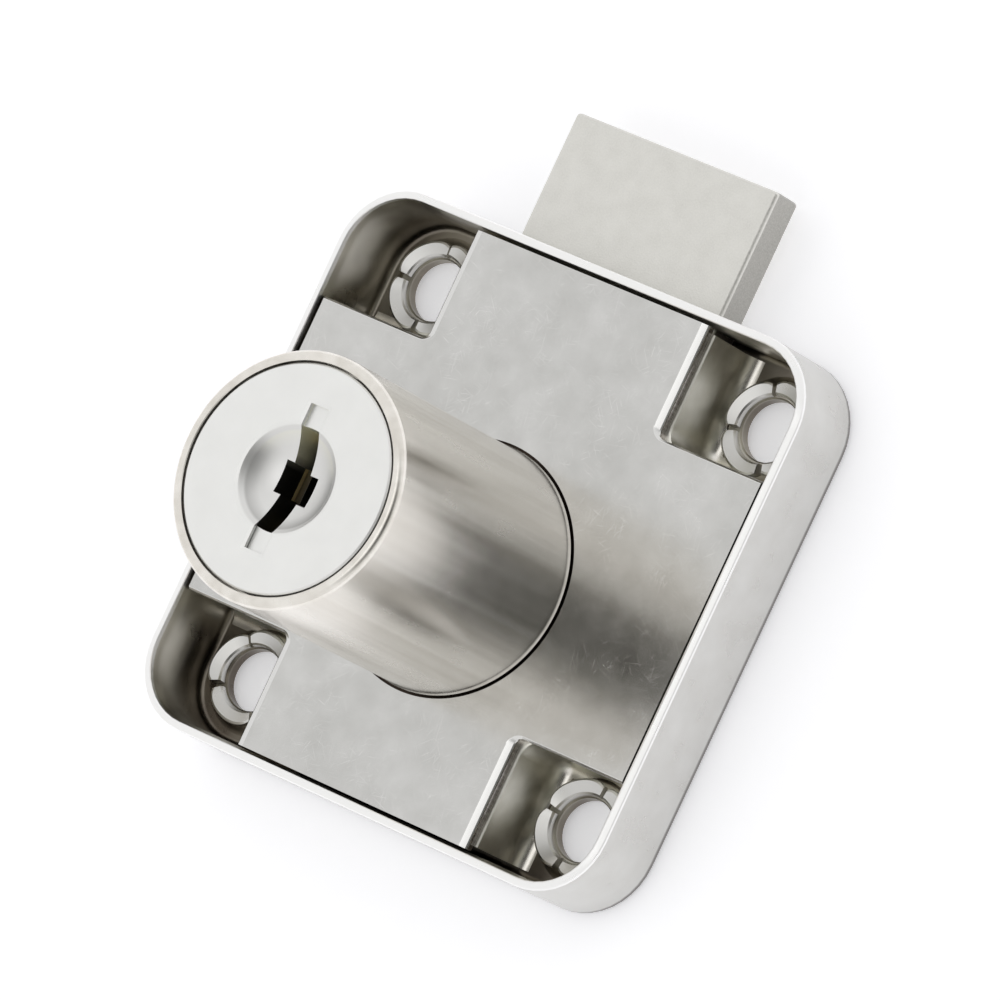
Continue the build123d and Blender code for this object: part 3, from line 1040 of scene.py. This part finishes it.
outside = [(0, WEB_UNDER + 0.6), (BARREL_ROOT, WEB_UNDER + 0.6), (BARREL_ROOT, -0.28),
           (BARREL + 0.05, -0.22), (BARREL + 0.09, -0.16), (BARREL + 0.03, -0.02), (BARREL, 0.14),
           *arc(BARREL - LIP, FACE_Z - LIP, LIP, 0, 90, 8), (0, FACE_Z)]
shape_with(housing, spun("barrel", outside, 192), operation="UNION")
reamer = [(0, base_under), (CAM_ROOM, base_under), (CAM_ROOM, CAM_ROOM_TOP), (BORE, CAM_ROOM_TOP),
          (BORE, HEAD_SEAT), (HEAD_BORE, HEAD_SEAT), (HEAD_BORE, FACE_Z - 0.06),
          (HEAD_BORE + 0.1, FACE_Z + 0.04), (HEAD_BORE + 0.1, FACE_Z + 1), (0, FACE_Z + 1)]
broach = slab("broach", round_ended(*GROOVES), CAM_ROOM_TOP - 0.5, GROOVE_TOP)
shape_with(housing, spun("reamer", reamer, 192), broach)
finish_piece(smooth(housing), "frame", HOUSING, "satin_nickel_casting", "cylinder_housing")

# %% [markdown]
# ## The plug
#
# The plug is turned from one bar: head, body, clip groove and the dish in its face are one
# profile. The slot across the face, the keyway and the seven wafer chambers are then cut in it.
# Every second chamber is turned round, because the wafers' springs push opposite ways in turn.

# %% Turn the plug
PLUG_BODY = 6.2
PLUG_HEAD = 8.05
HEAD_UNDER = FACE_Z - 2.0
PLUG_END = -2.2
TENON = 2.5
CLIP_GROOVE = (5.2, -1.95, -1.3)
DISH_DEPTH = 1.38
BEVEL = 0.22
BEVEL_DROP = 0.075


def plug_profile():
    """The turned shape, from the inner end to the middle of the dish."""
    groove_r, groove_low, groove_high = CLIP_GROOVE
    ball = (DISH_EDGE ** 2 + DISH_DEPTH ** 2) / (2 * DISH_DEPTH)
    rim_angle = math.degrees(math.acos(DISH_EDGE / ball))
    dish = arc(0, FACE_Z - BEVEL_DROP - DISH_DEPTH + ball, ball, -rim_angle, -90, 18)
    return [(0, PLUG_END), (PLUG_BODY, PLUG_END), (PLUG_BODY, groove_low), (groove_r, groove_low),
            (groove_r, groove_high), (PLUG_BODY, groove_high), (PLUG_BODY, HEAD_UNDER),
            (PLUG_HEAD, HEAD_UNDER), (PLUG_HEAD, FACE_Z - 0.12), (PLUG_HEAD - 0.12, FACE_Z),
            (DISH_EDGE + BEVEL, FACE_Z), *dish]


plug = spun("plug_core", plug_profile(), 192)
tenon = brick("tenon", (-TENON, -TENON, plug_low.z), (TENON, TENON, PLUG_END + 0.1))
shape_with(plug, tenon, operation="UNION")
print("points in the plug's profile:", len(plug_profile()))

# %% [markdown]
# Each chamber is a slot right through the plug for the wafer, with a pocket beside it for the
# spring. The sizes are half widths and reaches from the plug's axis.

# %% Cut the slots and the wafer chambers
SLOT_HALF = 0.78
FACE_SLOT_HALF = 5.3
FACE_SLOT_FLOOR = FACE_Z - 0.42
KEYWAY = 3.75
KEYWAY_END = 2.6
LEFT_ARM = (-1.35, 0.0, -1.1, 1.25)
RIGHT_ARM = (0.0, 1.6, -1.3, 0.85)
FIRST_WAFER = 18.4
WAFER_STEP = 2.4
WAFERS = 7
WAFER_SLOT = (2.75, 7.2, 0.55)
POCKET_X = (2.65, 4.45)
POCKET_Y = (-3.6, 1.95)
POCKET_HALF = 0.75

face_slot = brick("face_slot", (-SLOT_HALF, -FACE_SLOT_HALF, FACE_SLOT_FLOOR),
                  (SLOT_HALF, FACE_SLOT_HALF, FACE_Z + 1))
keyway = slab("keyway", round_ended(SLOT_HALF, KEYWAY), KEYWAY_END, FACE_Z + 1)
key_arms = [brick("key_arm", (x0, y0, KEYWAY_END), (x1, y1, FACE_Z + 1))
            for x0, x1, y0, y1 in (LEFT_ARM, RIGHT_ARM)]


def slot_bevel():
    """A cutter like a shallow roof turned over, which eases the slot's edges."""
    rings = []
    for z in (FACE_Z - BEVEL_DROP, FACE_Z + 0.3):
        spread = BEVEL * (z - FACE_Z + BEVEL_DROP) / BEVEL_DROP
        x, y = SLOT_HALF + spread, FACE_SLOT_HALF + spread
        rings.append([(-x, -y, z), (x, -y, z), (x, y, z), (-x, y, z)])
    return skin("slot_bevel", rings)


def chambers():
    """The slot and the spring pocket for each wafer."""
    bricks = []
    half_x, half_y, half_z = WAFER_SLOT
    for index in range(WAFERS):
        z = FIRST_WAFER - index * WAFER_STEP
        side = 1 if index % 2 == 0 else -1
        low_x, high_x = sorted(side * x for x in POCKET_X)
        low_y, high_y = sorted(side * y for y in POCKET_Y)
        bricks.append(brick("wafer_slot", (-half_x, -half_y, z - half_z), (half_x, half_y, z + half_z)))
        bricks.append(brick("spring_pocket", (low_x, low_y, z - POCKET_HALF),
                            (high_x, high_y, z + POCKET_HALF)))
    return bricks


shape_with(plug, face_slot, slot_bevel(), keyway, *key_arms, *chambers())
finish_piece(smooth(plug, 12), "plug", PLUG, "plug_face_nickel", "plug")

# %% [markdown]
# ## The bolt
#
# A plain cast bar with its long edges rounded and its tip eased. A rounded section is carried along
# the bar and shrinks a little at both ends. The slot for the crank pin is cut through it.

# %% Draw the bolt
BOLT_HALF = (bolt_high.x - bolt_low.x) / 2
BOLT_THICK = bolt_high.z - bolt_low.z
BOLT_EDGE = 0.35
TIP = 0.25
REAR = 0.15
CRANK = 4.75
CRANK_SLOT = (6.5, 2.52, 1.0)


def bolt_rings():
    """The bar's section from its rear to its tip, as (place along Y, inset) steps."""
    rear = arc(bolt_low.y + REAR, REAR, REAR, 180, 270, 3)
    tip = arc(bolt_high.y - TIP, TIP, TIP, 270, 360, 5)
    middle_z = (bolt_low.z + bolt_high.z) / 2
    rings = []
    for y, inset in rear + tip:
        section = rounded_box(BOLT_HALF - inset, BOLT_THICK / 2 - inset, BOLT_EDGE, (0, middle_z), 6)
        rings.append([(x, y, z) for x, z in section])
    return rings


bolt = skin("bolt_bar", bolt_rings())
crank_slot = rounded_box(*CRANK_SLOT, (0, CRANK))
shape_with(bolt, slab("crank_slot", crank_slot, bolt_low.z - 1, bolt_high.z + 1))
finish_piece(smooth(bolt), "bolt", BOLT, "bolt_zinc", "bolt")

# %% [markdown]
# ## The small works
#
# The wafers, their springs, the clip and the drive cam are inside the lock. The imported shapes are
# true and fine enough, so they stay, and only their finish is set.

# %% Finish the small works
SMALL_WORKS = (("wafer_spring", WIRE), ("retaining_clip", WIRE), ("wafer", BRASS), ("drive_cam", ZINCED))

for name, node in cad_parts.items():
    material = next((finish for start, finish in SMALL_WORKS if name.startswith(start)), None)
    if material is not None:
        print(name, "is", material.name)
        for place in node.material_slots:
            place.material = material
